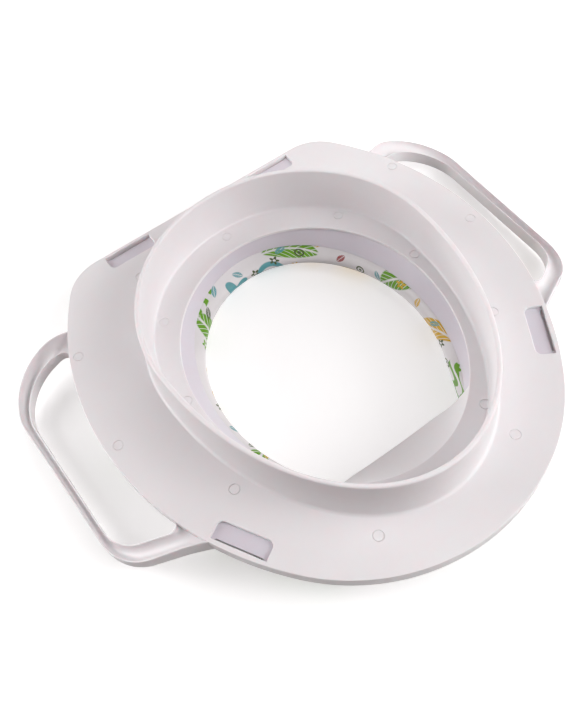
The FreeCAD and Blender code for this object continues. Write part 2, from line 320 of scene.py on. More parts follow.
def skin(name, loops, cyclic):
    """A ring of edges, extruded from loop to loop and closed to the first loop or by caps."""
    deselect_all()
    bpy.ops.mesh.primitive_circle_add(vertices=len(loops[0]), radius=MM, location=(0, 0, 0))
    piece = bpy.context.object
    piece.name = name
    piece.data.name = name
    bpy.ops.object.mode_set(mode="EDIT")
    bpy.ops.mesh.select_mode(type="VERT")
    bpy.ops.mesh.select_all(action="SELECT")
    mesh = bmesh.from_edit_mesh(piece.data)
    mesh.verts.ensure_lookup_table()
    ring = list(range(len(loops[0])))
    for index, point in zip(ring, in_frame(loops[0])):
        mesh.verts[index].co = point
    stations = list(loops[1:]) + ([loops[0]] if cyclic else [])
    for loop in stations:
        bpy.ops.mesh.extrude_region_move()
        mesh = bmesh.from_edit_mesh(piece.data)
        mesh.verts.index_update()
        mesh.verts.ensure_lookup_table()
        following = []
        for index in ring:
            vert = mesh.verts[index]
            ends = (edge.other_vert(vert) for edge in vert.link_edges)
            following.append(next(end.index for end in ends if end.select))
        ring = following
        for index, point in zip(ring, in_frame(loop)):
            mesh.verts[index].co = point
    if cyclic:
        bpy.ops.mesh.select_all(action="SELECT")
        bpy.ops.mesh.remove_doubles(threshold=1e-6)
    else:
        bpy.ops.mesh.edge_face_add()
        mesh = bmesh.from_edit_mesh(piece.data)
        mesh.verts.ensure_lookup_table()
        bpy.ops.mesh.select_all(action="DESELECT")
        for index in range(len(loops[0])):
            mesh.verts[index].select = True
        mesh.select_flush(True)
        bpy.ops.mesh.edge_face_add()
    bpy.ops.mesh.select_all(action="SELECT")
    bpy.ops.mesh.normals_make_consistent(inside=False)
    put_in_order(bmesh.from_edit_mesh(piece.data))
    bpy.ops.object.mode_set(mode="OBJECT")
    return piece


def join(pieces):
    activate(pieces[0])
    for piece in pieces:
        piece.select_set(True)
    bpy.ops.object.join()
    return bpy.context.object


def apply_modifier(piece, kind, **values):
    """Adds a modifier with the given values and applies it."""
    activate(piece)
    bpy.ops.object.modifier_add(type=kind)
    modifier = piece.modifiers[-1]
    for key, value in values.items():
        setattr(modifier, key, value)
    bpy.ops.object.modifier_apply(modifier=modifier.name)


def carve(piece, tool, operation):
    """Boolean of the piece with a tool, which is used up."""
    apply_modifier(piece, "BOOLEAN", object=tool, operation=operation, solver="EXACT")
    bpy.data.objects.remove(tool)
    return piece


def soften_edges(piece, width, limit):
    """Rounds the edges that turn by more than the limit in degrees."""
    angle = math.radians(limit)
    apply_modifier(piece, "BEVEL", width=width * MM, segments=3, limit_method="ANGLE", angle_limit=angle)


def flatten_normals(piece):
    """Lets the large faces keep their own normals, so that only the rounded edges take the light."""
    apply_modifier(piece, "WEIGHTED_NORMAL", keep_sharp=True)


def finish_piece(piece, material, node, smooth_angle):
    piece.data.materials.clear()
    piece.data.materials.append(material)
    activate(piece)
    bpy.ops.object.shade_smooth_by_angle(angle=math.radians(smooth_angle))
    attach(piece, "root")
    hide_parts(node)


# Shell: flange, collar, outer wall, handles and guard in one moulding
def round_corner(from_inset, from_z, to_inset, to_z, steps):
    """Quarter round between two stations, first along the wall and then along the face."""
    stations = []
    for turn in np.linspace(0, math.pi / 2, steps + 2)[1:-1]:
        inset = from_inset + (to_inset - from_inset) * (1 - math.cos(turn))
        stations.append((inset, from_z + (to_z - from_z) * math.sin(turn)))
    return stations


def shell_ring():
    """Section of the shell, followed round from the edge of the ledge."""
    edge = shell_edge_radius
    lip = wall_edge_radius
    rim = collar_rim_radius
    root = collar_root_radius
    inner_root = bore_root_radius
    far = wall_thickness
    root_z = z_flange - root
    loops = []

    def run(curve, stations):
        for inset, z in stations:
            loops.append(ring_points(curve(inset, z), z))

    def ledge(grow, z):
        return ledge_curve(grow)

    def outline(inset, z):
        return outline_curve(inset)

    run(ledge, [(0, z_plate - edge), (0, z_flange + edge)])
    run(ledge, round_corner(0, z_flange + edge, edge, z_flange, 2) + [(edge, z_flange)])
    run(bore_curve, [(inner_root, z_flange)])
    run(bore_curve, round_corner(0, z_flange - inner_root, inner_root, z_flange, 2)[::-1])
    run(bore_curve, [(0, z_flange - inner_root), (0, 0.5 * z_flange), (0, rim)])
    run(bore_curve, round_corner(0, rim, -rim, 0, 3) + [(-rim, 0)])
    run(collar_curve, [(rim, 0)] + round_corner(0, rim, rim, 0, 3)[::-1] + [(0, rim)])
    run(collar_curve, [(0, 0.4 * z_flange), (0, root_z)])
    run(collar_curve, round_corner(0, root_z, -root, z_flange, 5) + [(-root, z_flange)])
    run(outline, [(edge, z_flange)] + round_corner(0, z_flange + edge, edge, z_flange, 2)[::-1])
    run(outline, [(0, z_flange + edge), (0, z_wall - lip)])
    run(outline, round_corner(0, z_wall - lip, lip, z_wall, 3) + [(lip, z_wall)])
    run(outline, [(far - lip, z_wall)] + round_corner(far, z_wall - lip, far - lip, z_wall, 3)[::-1])
    run(outline, [(far, z_wall - lip), (far, z_plate)])
    run(ledge, [(edge, z_plate)] + round_corner(0, z_plate - edge, edge, z_plate, 2)[::-1])
    return skin("base_shell", loops, True)


def ledge_y(x, grow):
    share = x / (ledge_half_width + grow)
    return ledge_centre_y + (ledge_front_y - grow - ledge_centre_y) * np.sqrt(1 - share ** 2)


def guard_back_y(x, z):
    """The back face of the guard: straight lines from the ledge to the nearly straight top."""
    share = (z - z_flange) / guard_rise
    foot_side = ledge_y(guard_foot_half_width, guard_sink)
    foot_middle = ledge_front_y - guard_sink
    foot = foot_middle + (foot_side - foot_middle) * (x / guard_foot_half_width) ** 2
    top = ledge_front_y + guard_lean + guard_top_bow * (x / guard_top_half_width) ** 2
    return foot + (top - foot) * share


def guard_half_width(z):
    share = (z - z_flange) / guard_rise
    half = guard_foot_half_width + (guard_top_half_width - guard_foot_half_width) * share
    above = z - (z_flange + guard_rise - guard_corner_radius)
    if above <= 0:
        return half
    return half - guard_corner_radius + math.sqrt(max(0.0, guard_corner_radius ** 2 - above ** 2))


def guard_plate():
    """The splash guard, lofted from its foot in the ledge up to its rounded top."""
    across = 24
    heights = np.concatenate((
        np.linspace(0, guard_rise - guard_corner_radius, 5)[:-1],
        guard_rise - guard_corner_radius * (1 - np.sin(np.linspace(0, math.pi / 2, 14))),
    ))
    loops = []
    for rise in heights:
        z = z_flange + rise
        x = np.linspace(-1, 1, across) * guard_half_width(z)
        back = guard_back_y(x, z)
        side = np.column_stack((x, back, np.full(across, z)))
        front = side[::-1] - np.array((0.0, guard_run, 0.0))
        loops.append(np.concatenate((side, front)))
    plate = skin("guard", loops, False)
    soften_edges(plate, guard_edge_radius, 40)
    return plate


def window_places():
    """Middle of each window's outer side and the angle of its outward direction."""
    half = window_length / 2
    inner = side_radius - wall_thickness
    drop = inner - math.sqrt(inner ** 2 - half ** 2)
    turn = -math.radians(front_window_angle)
    front = side_centre + (inner - drop) * np.array((math.cos(turn), math.sin(turn)))
    back = np.array((back_window_x, back_reach - wall_thickness))
    places = []
    for middle, angle, sink in ((front, turn, drop + catch_root), (back, math.pi / 2, catch_root)):
        places.append((middle, angle, sink))
        places.append((middle * np.array((-1, 1)), math.pi - angle, sink))
    return places


def turned(points, middle, angle):
    """Points laid out along x, turned to the angle and moved to the middle."""
    c, s = math.cos(angle), math.sin(angle)
    flat = points[:, :2] @ np.array(((c, s), (-s, c))) + middle
    return np.column_stack((flat, points[:, 2]))


def window_tool(middle, angle):
    """Prism of the window, flared where it leaves the underside to round the edge."""
    overcut_below, overcut_above = 2.0, 0.5
    flare = window_edge_radius
    stations = [(z_flange - overcut_below, flare)]
    for turn in np.radians((0, 30, 60, 90)):
        stations.append((z_flange + flare * (1 - math.cos(turn)), flare * (1 - math.sin(turn))))
    stations.append((z_plate + overcut_above, 0.0))
    loops = []
    for z, grow in stations:
        half = window_length / 2 + grow
        inner = -window_depth + window_corner
        r = window_corner + grow
        side = window_length / 2 - window_corner
        low = arc((inner, -side), r, -math.pi / 2, -math.pi, 8)
        high = arc((inner, side), r, math.pi, math.pi / 2, 8)
        corners = np.concatenate((np.array(((0.0, -half),)), low, high, np.array(((0.0, half),))))
        loops.append(turned(np.column_stack((corners, np.full(len(corners), z))), middle, angle))
    return skin("window_tool", loops, False)


def catch_wedge(middle, angle, sink):
    """The nose inside the outer wall that holds the tray down over a window."""
    low = z_tray + catch_gap
    reach = -catch_reach
    section = ((sink, low), (reach, low), (reach, low + catch_nose), (sink, low + catch_rise))
    loops = []
    for y in (-catch_length / 2, catch_length / 2):
        loops.append(turned(np.array([(x, y, z) for x, z in section]), middle, angle))
    return skin("catch", loops, False)


def mark_places():
    """Middles of the moulding marks, chosen and tied to the edges they lie near."""
    shallow = -(collar_front + front_reach) / 2
    one_side = (
        (ledge_half_width + 5.0, -8.0),
        (0.84 * ledge_half_width, 54.0),
        (51.0, ledge_front_y + 6.3),
        (51.0, shallow + 19.8),
        (100.5, -76.5),
        (half_width - 8.4, -8.0),
        (half_width - 18.0, 66.5),
        (67.0, back_reach - 33.5),
    )
    places = [(0.0, (ledge_back_y + collar_back - collar_thickness) / 2 + 2.5)]
    for x, y in one_side:
        places += [(x, y), (-x, y)]
    return places


def mark_tool(place):
    """A flat ring that leaves a round groove in the underside."""
    count = 32
    draft = 0.2
    inner = mark_radius - mark_width
    low, high = z_flange - mark_depth, z_flange + mark_depth
    loops = []
    for radius, z in ((inner, low), (inner + draft, high), (mark_radius - draft, high), (mark_radius, low)):
        flat = arc(place, radius, 0, 2 * math.pi, count + 1)[:-1]
        loops.append(np.column_stack((flat, np.full(count, z))))
    return skin("mark_tool", loops, True)


def meet(p, slope_p, q, slope_q):
    """Where the line y = slope_p through p meets x = slope_q through q."""
    y = (p[1] + slope_p * (q[0] - slope_q * q[1] - p[0])) / (1 - slope_p * slope_q)
    return np.array((q[0] + slope_q * (y - q[1]), y))


def rounded_path(corners, counts):
    """Open path through corners (point, radius), with counts[i] points on each run and arc."""
    points = []
    runs = iter(counts)
    last = corners[0][0]
    for i in range(1, len(corners) - 1):
        point, radius = corners[i]
        before = corners[i - 1][0] - point
        after = corners[i + 1][0] - point
        before = before / np.linalg.norm(before)
        after = after / np.linalg.norm(after)
        half = math.acos(np.clip(before @ after, -1, 1)) / 2
        start = point + before * radius / math.tan(half)
        end = point + after * radius / math.tan(half)
        middle = before + after
        centre = point + middle / np.linalg.norm(middle) * radius / math.sin(half)
        points.append(np.linspace(last, start, next(runs), endpoint=False))
        a, b = start - centre, end - centre
        first = math.atan2(a[1], a[0])
        sweep = (math.atan2(b[1], b[0]) - first + math.pi) % (2 * math.pi) - math.pi
        points.append(arc(centre, radius, first, first + sweep, next(runs) + 1)[:-1])
        last = end
    points.append(np.linspace(last, corners[-1][0], next(runs)))
    return np.concatenate(points)


def climb(x):
    """How far the underside of the handle has climbed above the flange at x."""
    bend = half_width - handle_start
    slope = handle_climb
    reach = handle_bend_radius * math.tan(math.atan(slope) / 2)
    rise = slope * (x - bend)
    near = np.clip((x - bend + reach) / (2 * reach), 0, 1)
    soft = slope * reach * near ** 2
    return np.where(x > bend + reach, rise, soft)


def on_outline(point, slope, inset):
    """Where a line through the point meets the side of the flange, moved in by inset."""
    direction = np.array((1.0, slope)) / math.hypot(1.0, slope)
    offset = point - side_centre
    half_b = offset @ direction
    rest = offset @ offset - (side_radius - inset) ** 2
    return point + direction * (-half_b + math.sqrt(half_b ** 2 - rest))


def handle_paths():
    """Outer contour and hand opening of the handle, station by station from front root to back root."""
    root_x = half_width - handle_root_inset
    grip_outer = np.array((half_width + handle_reach, handle_reach_y))
    grip_inner = grip_outer - np.array((grip_width, 0.0))
    inner_taper = handle_taper - grip_taper
    back_outer = np.array((root_x, handle_back_y))
    front_outer = np.array((root_x, handle_front_y))
    back_run = handle_root_inset - loop_back_inset
    front_run = handle_root_inset + loop_front_offset
    back_inner = back_outer + np.array((back_run, handle_back_slope * back_run - back_bar_width))
    front_inner = front_outer + np.array((front_run, handle_front_slope * front_run + front_bar_width))
    front_slope = handle_front_slope + loop_front_turn

    far_back = meet(back_outer, handle_back_slope, grip_outer, handle_taper)
    far_front = meet(front_outer, handle_front_slope, grip_outer, handle_taper)
    start = on_outline(front_outer, handle_front_slope, handle_sunk)
    end = on_outline(back_outer, handle_back_slope, handle_sunk)
    outer_corners = [
        (start, 0),
        (far_front, handle_corner_radius),
        (far_back, handle_corner_radius),
        (end, 0),
    ]
    outer = rounded_path(outer_corners, (26, 18, 22, 18, 26))

    loop_back = meet(back_inner, 0.0, grip_inner, inner_taper)
    loop_front = meet(front_inner, front_slope, grip_inner, inner_taper)
    low = -math.radians(loop_front_angle)
    high = math.radians(loop_back_angle)
    low_point = side_centre + side_radius * np.array((math.cos(low), math.sin(low)))
    high_point = side_centre + side_radius * np.array((math.cos(high), math.sin(high)))
    near_front = meet(front_inner, front_slope, low_point, math.tan(-low))
    near_back = meet(back_inner, 0.0, high_point, math.tan(-high))
    sunk = np.array((handle_sunk, 0.0))
    start_inner = near_front + loop_front_tail * np.array((math.sin(-low), math.cos(low))) - sunk
    end_inner = near_back + loop_back_tail * np.array((math.sin(high), -math.cos(high))) - sunk
    inner_corners = [
        (start_inner, 0),
        (near_front, loop_front_root_radius),
        (loop_front, loop_corner_radius),
        (loop_back, loop_corner_radius),
        (near_back, loop_back_root_radius),
        (end_inner, 0),
    ]
    inner = rounded_path(inner_corners, (2, 8, 16, 18, 22, 18, 15, 9, 2))
    return outer, inner


def handle_section(width, lift, drop, run):
    """Section of the handle as (distance from the outer contour, height above the underside)."""
    wall = handle_wall
    edge = handle_edge_radius
    chamfer = 0.1
    channel = min(channel_depth, 0.9 + 0.27 * width)
    rim = [
        (0.0, edge),
        (chamfer, chamfer),
        (edge, 0.0),
        (wall - edge, 0.0),
        (wall - chamfer, chamfer),
        (wall, edge),
    ]
    hollow = []
    for turn in np.linspace(0, math.pi, 13)[1:-1]:
        share = (1 - math.cos(turn)) / 2
        height = edge + lift * share + channel * math.sin(turn)
        hollow.append((wall + (width - 2 * wall) * share, height))
    far_rim = [(width - distance, lift + height) for distance, height in rim[::-1]]
    corner = min(handle_top_corner, 0.3 * width)
    depth = handle_depth
    inner_top = [
        (width, depth - corner),
        (width - 0.3 * corner, depth - 0.3 * corner),
        (width - corner, depth),
    ]
    outer_top = []
    for turn in np.linspace(math.pi / 2, 0, 8):
        outer_top.append((run * (1 - math.sin(math.pi / 2 - turn)), depth - drop + drop * math.sin(turn)))
    return rim + hollow + far_rim + inner_top + outer_top


def handle_body(side):
    """One loop handle: its section, led from the front root round the grip to the back root."""
    root_drop, grip_drop = 3.0, 5.5
    root_run, grip_run = 1.5, 3.0
    root_share = 0.2
    outer, inner = handle_paths()
    count = min(len(outer), len(inner))
    loops = []
    for i in range(count):
        a, b = outer[i], inner[i]
        width = float(np.linalg.norm(b - a))
        along = i / (count - 1)
        free = 1 - math.exp(-((min(along, 1 - along) / root_share) ** 2))
        drop = root_drop + grip_drop * free
        run = min(root_run + grip_run * free, 0.6 * width)
        lift = float(np.interp(along, handle_lift_places, handle_lifts))
        points = []
        for distance, height in handle_section(width, lift, drop, run):
            x, y = a + (b - a) * distance / width
            points.append((side * x, y, z_flange + float(climb(x)) + height))
        loops.append(np.array(points))
    return skin("handle", loops, False)


def build_shell():
    shell = shell_ring()
    extras = [guard_plate(), handle_body(1), handle_body(-1)]
    for middle, angle, sink in window_places():
        extras.append(catch_wedge(middle, angle, sink))
    for extra in extras:
        carve(shell, extra, "UNION")
    tools = [window_tool(middle, angle) for middle, angle, sink in window_places()]
    tools += [mark_tool(np.array(place)) for place in mark_places()]
    carve(shell, join(tools), "DIFFERENCE")
    return shell


# Tray
def lip_loop(grow, share):
    return ring_points(lip_curve(grow, share), z_plate + share * (z_seam - z_plate))


def notch_tool(middle, angle, sink):
    """Room in the edge of the tray behind a window, where the catch bends aside."""
    overcut, overcut_out = 1.0, 5.0
    half = notch_length / 2
    bevel = notch_corner - notch_depth
    near, far = half - notch_corner, sink + overcut_out
    x = np.array((-notch_depth, bevel, far, far, bevel, -notch_depth))
    y = np.array((near, half, half, -half, -half, -near))
    loops = []
    for z in (z_plate - overcut, z_tray + overcut):
        loops.append(turned(np.column_stack((x, y, np.full(len(x), z)))[::-1], middle, angle))
    return skin("notch_tool", loops, False)


def guard_room():
    """The room that the guard takes in the tray, with its gap."""
    across = 16
    overcut = 1.0
    narrowing = guard_top_half_width - guard_foot_half_width
    loops = []
    for z in np.linspace(z_plate - overcut, z_seam + overcut, 4):
        half = guard_foot_half_width + guard_gap + narrowing * (z - z_flange) / guard_rise
        x = np.linspace(-half, half, across)
        y = guard_back_y(x, z)
        level = np.full(across, z)
        back_side = np.column_stack((x, y + guard_room_back, level))
        front_side = np.column_stack((x, y - guard_run - guard_gap, level))[::-1]
        loops.append(np.concatenate((back_side, front_side)))
    return skin("guard_room", loops, False)


def build_tray():
    edge = 0.3
    foot = tray_thickness / (z_seam - z_plate)
    loops = [
        lip_loop(0, 0.02),
        ring_points(lip_curve(edge, 0), z_plate),
        ring_points(outline_curve(tray_inset + edge), z_plate),
        ring_points(outline_curve(tray_inset), z_plate + edge),
        ring_points(outline_curve(tray_inset), z_tray - edge),
        ring_points(outline_curve(tray_inset + edge), z_tray),
        lip_loop(tray_thickness + 1.0, foot),
        lip_loop(tray_thickness, foot * 1.6),
        lip_loop(tray_thickness, 0.5),
        lip_loop(tray_thickness, 0.93),
        lip_loop(tray_thickness - 0.25, 0.985),
        lip_loop(tray_thickness - 0.8, 1),
        lip_loop(0.6, 1),
        lip_loop(0.15, 0.985),
        lip_loop(0, 0.94),
        lip_loop(0, 0.5),
    ]
    tray = skin("cushion_tray_ring", loops, True)
    carve(tray, guard_room(), "DIFFERENCE")
    notches = [notch_tool(middle, angle, sink) for middle, angle, sink in window_places()]
    return carve(tray, join(notches), "DIFFERENCE")


# Cushion
def soft_share(height):
    """How far the throat bulges at a share of the height above the seam."""
    heights = np.array((0.0, 0.17, 0.4, 0.68, 0.9, 1.0))
    shares = np.array((0.0, 0.7, 1.0, 0.75, -0.1, -0.75))
    slopes = np.gradient(shares, heights)
    i = int(np.clip(np.searchsorted(heights, height) - 1, 0, len(heights) - 2))
    span = heights[i + 1] - heights[i]
    t = (height - heights[i]) / span
    a, b = shares[i], shares[i + 1]
    m, n = slopes[i] * span, slopes[i + 1] * span
    return a + m * t + (3 * (b - a) - 2 * m - n) * t ** 2 + (2 * (a - b) + m + n) * t ** 3


def cushion_loops():
    """Section of the cushion, followed from the seam up the throat, over the crown and back underneath."""
    upper = z_crown - z_seam
    side = z_crown - crown_sag - cushion_edge_radius
    floor = z_tray + cushion_lift
    loops = [lip_loop(1.1, 1.0), lip_loop(0.5, 1.03)]
    for height in (0.07, 0.13, 0.2, 0.29, 0.4, 0.52, 0.64, 0.75, 0.84, 0.91, 0.96):
        loops.append(ring_points(bulge_curve(soft_share(height)), z_seam + height * upper))
    inner = ring_points(bulge_curve(-1.15), z_crown)
    outer = ring_points(outline_curve(cushion_inset + cushion_edge_radius), z_crown)
    for share in (0.0, 0.18, 0.38, 0.6, 0.82, 1.0):
        loop = inner + (outer - inner) * share
        loop[:, 2] = z_crown - crown_sag * (2 * share - 1) ** 2
        loops.append(loop)
    for turn in np.linspace(math.pi / 2, 0, 7)[1:]:
        inset = cushion_inset + cushion_edge_radius * (1 - math.cos(turn))
        loops.append(ring_points(outline_curve(inset), side + cushion_edge_radius * math.sin(turn)))
    for share, inset in ((0.7, 0.0), (0.42, 0.1), (0.2, 0.5), (0.07, 1.1), (0.0, cushion_under_inset)):
        loops.append(ring_points(outline_curve(cushion_inset + inset), floor + share * (side - z_tray)))
    under_outer = ring_points(outline_curve(cushion_inset + cushion_under_inset), floor)
    under_inner = ring_points(lip_curve(tray_thickness + cushion_under_inset, 0.15), floor)
    for share in (0.33, 0.66, 1.0):
        loops.append(under_outer + (under_inner - under_outer) * share)
    for gap, share in ((0.5, 0.3), (0.3, 0.65), (0.1, 0.95)):
        loops.append(lip_loop(tray_thickness + gap, share))
    return loops


def clear_of_guard(points):
    """Moves points of the cushion that would reach into the guard out towards the front."""
    front_part, beside, easing = -60.0, 0.6, 2.6
    x, y, z = points[:, 0], points[:, 1], points[:, 2]
    share = np.clip((z - z_flange) / guard_rise, 0, 1)
    half = guard_foot_half_width + (guard_top_half_width - guard_foot_half_width) * share
    near = np.minimum(np.abs(x), half)
    limit = guard_back_y(near, z) - guard_run - cushion_guard_gap
    limit = limit + easing * np.maximum(0, np.abs(x) - half - beside)
    move = (y < front_part) & (y > limit)
    y[move] = limit[move]
    return points


def print_map(loops):
    """Where each point lies on the flat cover: the crown as seen from above, the sides folded out."""
    crown = 15
    flat = np.zeros((len(loops), ring_count, 2))
    flat[crown] = loops[crown][:, :2]
    for step, end in ((1, len(loops)), (-1, -1)):
        for i in range(crown + step, end, step):
            before = loops[i - step]
            run = np.linalg.norm(loops[i] - before, axis=1)
            out = before[:, :2] - eye
            out = out / np.linalg.norm(out, axis=1)[:, None]
            flat[i] = flat[i - step] + step * run[:, None] * out
    return flat.reshape(-1, 2)


def lay_out_print(piece, loops):
    """Gives the cover its UV map, in decimetres."""
    known = np.concatenate([in_frame(points) for points in loops])
    flat = print_map(loops) / 100.0
    nearest = [int(np.argmin(((known - np.array(vert.co)) ** 2).sum(1))) for vert in piece.data.vertices]
    corners = np.zeros(len(piece.data.loops), int)
    piece.data.loops.foreach_get("vertex_index", corners)
    layer = piece.data.uv_layers.new(name="print")
    layer.data.foreach_set("uv", flat[nearest][corners].astype(np.float32).ravel())


def evened(piece, move, held):
    """Averages the moves of neighbouring points, so that no chance wrinkle of the cloth stays."""
    evening_steps = 60
    ends = np.array([edge.vertices[:] for edge in piece.data.edges])
    from_ends = np.concatenate((ends[:, 0], ends[:, 1]))
    to_ends = np.concatenate((ends[:, 1], ends[:, 0]))
    neighbours = np.bincount(from_ends, minlength=len(move))[:, None]
    for step in range(evening_steps):
        total = np.zeros_like(move)
        np.add.at(total, from_ends, move[to_ends])
        move = (move + total / neighbours) / 2
        move[held] = 0
    return move


def held_points(points):
    """Which points of the cover are held: those on the tray and those at the seam of the throat."""
    foot_height, seam_height, throat_reach = 4.0, 1.5, 120.0
    x, y, z = points.T / MM
    near_seam = (z < z_seam + seam_height) & (np.hypot(x - eye[0], y - middle_y - eye[1]) < throat_reach)
    return (z < z_tray + foot_height) | near_seam


def inflate(piece, settings):
    """Blows the cover up a little over its foam: cloth under pressure, held at the tray and seam."""
    steps = 20
    rest = np.array([vert.co for vert in piece.data.vertices])
    held = held_points(rest)
    group = piece.vertex_groups.new(name="held")
    group.add(np.flatnonzero(held).tolist(), 1.0, "REPLACE")
    activate(piece)
    bpy.ops.object.modifier_add(type="CLOTH")
    modifier = piece.modifiers[-1]
    cloth = modifier.settings
    cloth.quality = 6
    cloth.mass = 0.4
    cloth.tension_stiffness = 12
    cloth.compression_stiffness = 12
    cloth.shear_stiffness = 8
    cloth.bending_stiffness = 1.2
    cloth.use_pressure = True
    cloth.uniform_pressure_force = settings.pressure
    cloth.vertex_group_mass = group.name
    cloth.effector_weights.gravity = 0
    modifier.collision_settings.use_self_collision = False
    scene = bpy.context.scene
    for step in range(1, steps + 1):
        scene.frame_set(step)
    bpy.ops.object.modifier_apply(modifier=modifier.name)
    scene.frame_set(1)
    move = np.array([vert.co for vert in piece.data.vertices]) - rest
    length = np.linalg.norm(move, axis=1)
    cap = settings.swell
    move *= (cap * np.tanh(length / cap) / np.maximum(length, 1e-9))[:, None]
    move = evened(piece, move, held)
    placed = (rest + move) / MM - np.array((0.0, middle_y, 0.0))
    for vert, point in zip(piece.data.vertices, in_frame(clear_of_guard(placed))):
        vert.co = point
    piece.vertex_groups.clear()


def build_cushion(settings):
    loops = [clear_of_guard(loop) for loop in cushion_loops()]
    piece = skin("cushion_pad", loops, True)
    lay_out_print(piece, loops)
    inflate(piece, settings)
    apply_modifier(piece, "SUBSURF", levels=1, render_levels=1)
    return piece


# Shader helpers
class Tree:
    """Adds and joins shader nodes in one node tree."""

    def __init__(self, tree):
        self.tree = tree

    def add(self, kind, **values):
        node = self.tree.nodes.new(kind)
        for key, value in values.items():
            setattr(node, key, value)
        return node

    def join(self, source, target):
        self.tree.links.new(source, target)

    def feed(self, socket, value):
        if isinstance(value, bpy.types.NodeSocket):
            self.join(value, socket)
        else:
            socket.default_value = value

    def math(self, operation, a, b=0.0, c=0.0, clamp=False):
        node = self.add("ShaderNodeMath", operation=operation, use_clamp=clamp)
        for socket, value in zip(node.inputs, (a, b, c)):
            self.feed(socket, value)
        return node.outputs[0]

    def vector(self, operation, a, b=(0.0, 0.0, 0.0), scale=None):
        node = self.add("ShaderNodeVectorMath", operation=operation)
        self.feed(node.inputs[0], a)
        self.feed(node.inputs[1], b)
        if scale is not None:
            self.feed(node.inputs["Scale"], scale)
        return node.outputs["Value" if operation in ("LENGTH", "DISTANCE") else "Vector"]

    def product(self, a, b):
        return self.math("MULTIPLY", a, b)

    def sum_of(self, a, factor, b):
        """a times factor, plus b."""
        return self.math("MULTIPLY_ADD", a, factor, b)

    def larger(self, a, b):
        return self.math("MAXIMUM", a, b)

    def ramp(self, value, low, high, to_low=0.0, to_high=1.0):
        node = self.add("ShaderNodeMapRange", interpolation_type="SMOOTHSTEP")
        for socket, given in zip(node.inputs, (value, low, high, to_low, to_high)):
            self.feed(socket, given)
        return node.outputs[0]

    def mix(self, factor, a, b):
        node = self.add("ShaderNodeMix", data_type="RGBA")
        self.feed(node.inputs[0], factor)
        self.feed(node.inputs[6], a)
        self.feed(node.inputs[7], b)
        return node.outputs[2]

    def noise(self, vector, scale, detail=2.0, roughness=0.5):
        node = self.add("ShaderNodeTexNoise")
        self.feed(node.inputs["Vector"], vector)
        self.feed(node.inputs["Scale"], scale)
        self.feed(node.inputs["Detail"], detail)
        self.feed(node.inputs["Roughness"], roughness)
        return node.outputs["Fac"]


def new_group(name, inputs, outputs):
    """Empty node group with named inputs (kind, name, default) and outputs (kind, name)."""
    group = bpy.data.node_groups.new(name, "ShaderNodeTree")
    for kind, label, default in inputs:
        socket = group.interface.new_socket(label, in_out="INPUT", socket_type=kind)
        socket.default_value = default
    for kind, label in outputs:
        group.interface.new_socket(label, in_out="OUTPUT", socket_type=kind)
    tree = Tree(group)
    given = tree.add("NodeGroupInput")
    result = tree.add("NodeGroupOutput")
    return group, tree, given, result


def moulded_group():
    """Moulded plastic: soft clouds of shade, fine satin texture and slightly uneven gloss."""
    group, tree, given, result = new_group(
        "moulded_plastic",
        [
            ("NodeSocketVector", "Place", (0, 0, 0)),
            ("NodeSocketColor", "Colour", (0.8, 0.8, 0.8, 1)),
            ("NodeSocketColor", "Shade", (0.7, 0.7, 0.7, 1)),
            ("NodeSocketFloat", "Cloudiness", 0.5),
            ("NodeSocketFloat", "Gloss", 0.4),
        ],
        [
            ("NodeSocketColor", "Colour"),
            ("NodeSocketFloat", "Roughness"),
            ("NodeSocketFloat", "Height"),
        ],
    )
    place = given.outputs["Place"]
    clouds = tree.ramp(tree.noise(place, 14.0, 3.0), 0.3, 0.7)
    flow = tree.noise(tree.vector("MULTIPLY", place, (1.0, 1.0, 3.0)), 45.0, 4.0)
    shading = tree.sum_of(flow, 0.4, tree.product(clouds, 0.6))
    amount = tree.product(shading, given.outputs["Cloudiness"])
    tree.join(tree.mix(amount, given.outputs["Colour"], given.outputs["Shade"]), result.inputs["Colour"])
    fine = tree.noise(place, 1400.0, 2.0)
    wide = tree.noise(place, 160.0, 2.0)
    rough = tree.sum_of(fine, 0.08, tree.sum_of(clouds, 0.06, given.outputs["Gloss"]))
    tree.join(rough, result.inputs["Roughness"])
    tree.join(tree.sum_of(fine, 0.5, wide), result.inputs["Height"])
    return group


def rgb(red, green, blue):
    """Colour given as 0 to 255 on screen, as the linear values that shaders take."""
    def linear(c):
        c = c / 255
        return c / 12.92 if c <= 0.04045 else ((c + 0.055) / 1.055) ** 2.4
    return (linear(red), linear(green), linear(blue), 1.0)


def new_material(name, shader_kind="ShaderNodeBsdfPrincipled"):
    """Material with one shader joined to its output."""
    material = bpy.data.materials.new(name)
    material.use_nodes = True
    material.node_tree.nodes.clear()
    tree = Tree(material.node_tree)
    shader = tree.add(shader_kind)
    output = tree.add("ShaderNodeOutputMaterial")
    tree.join(shader.outputs[0], output.inputs["Surface"])
    return material, tree, shader


def add_relief(tree, height, strength, depth, shader):
    """Bump of the given depth in millimetres."""
    relief = tree.add("ShaderNodeBump")
    relief.inputs["Strength"].default_value = strength
    relief.inputs["Distance"].default_value = depth * MM
    tree.join(height, relief.inputs["Height"])
    tree.join(relief.outputs["Normal"], shader.inputs["Normal"])


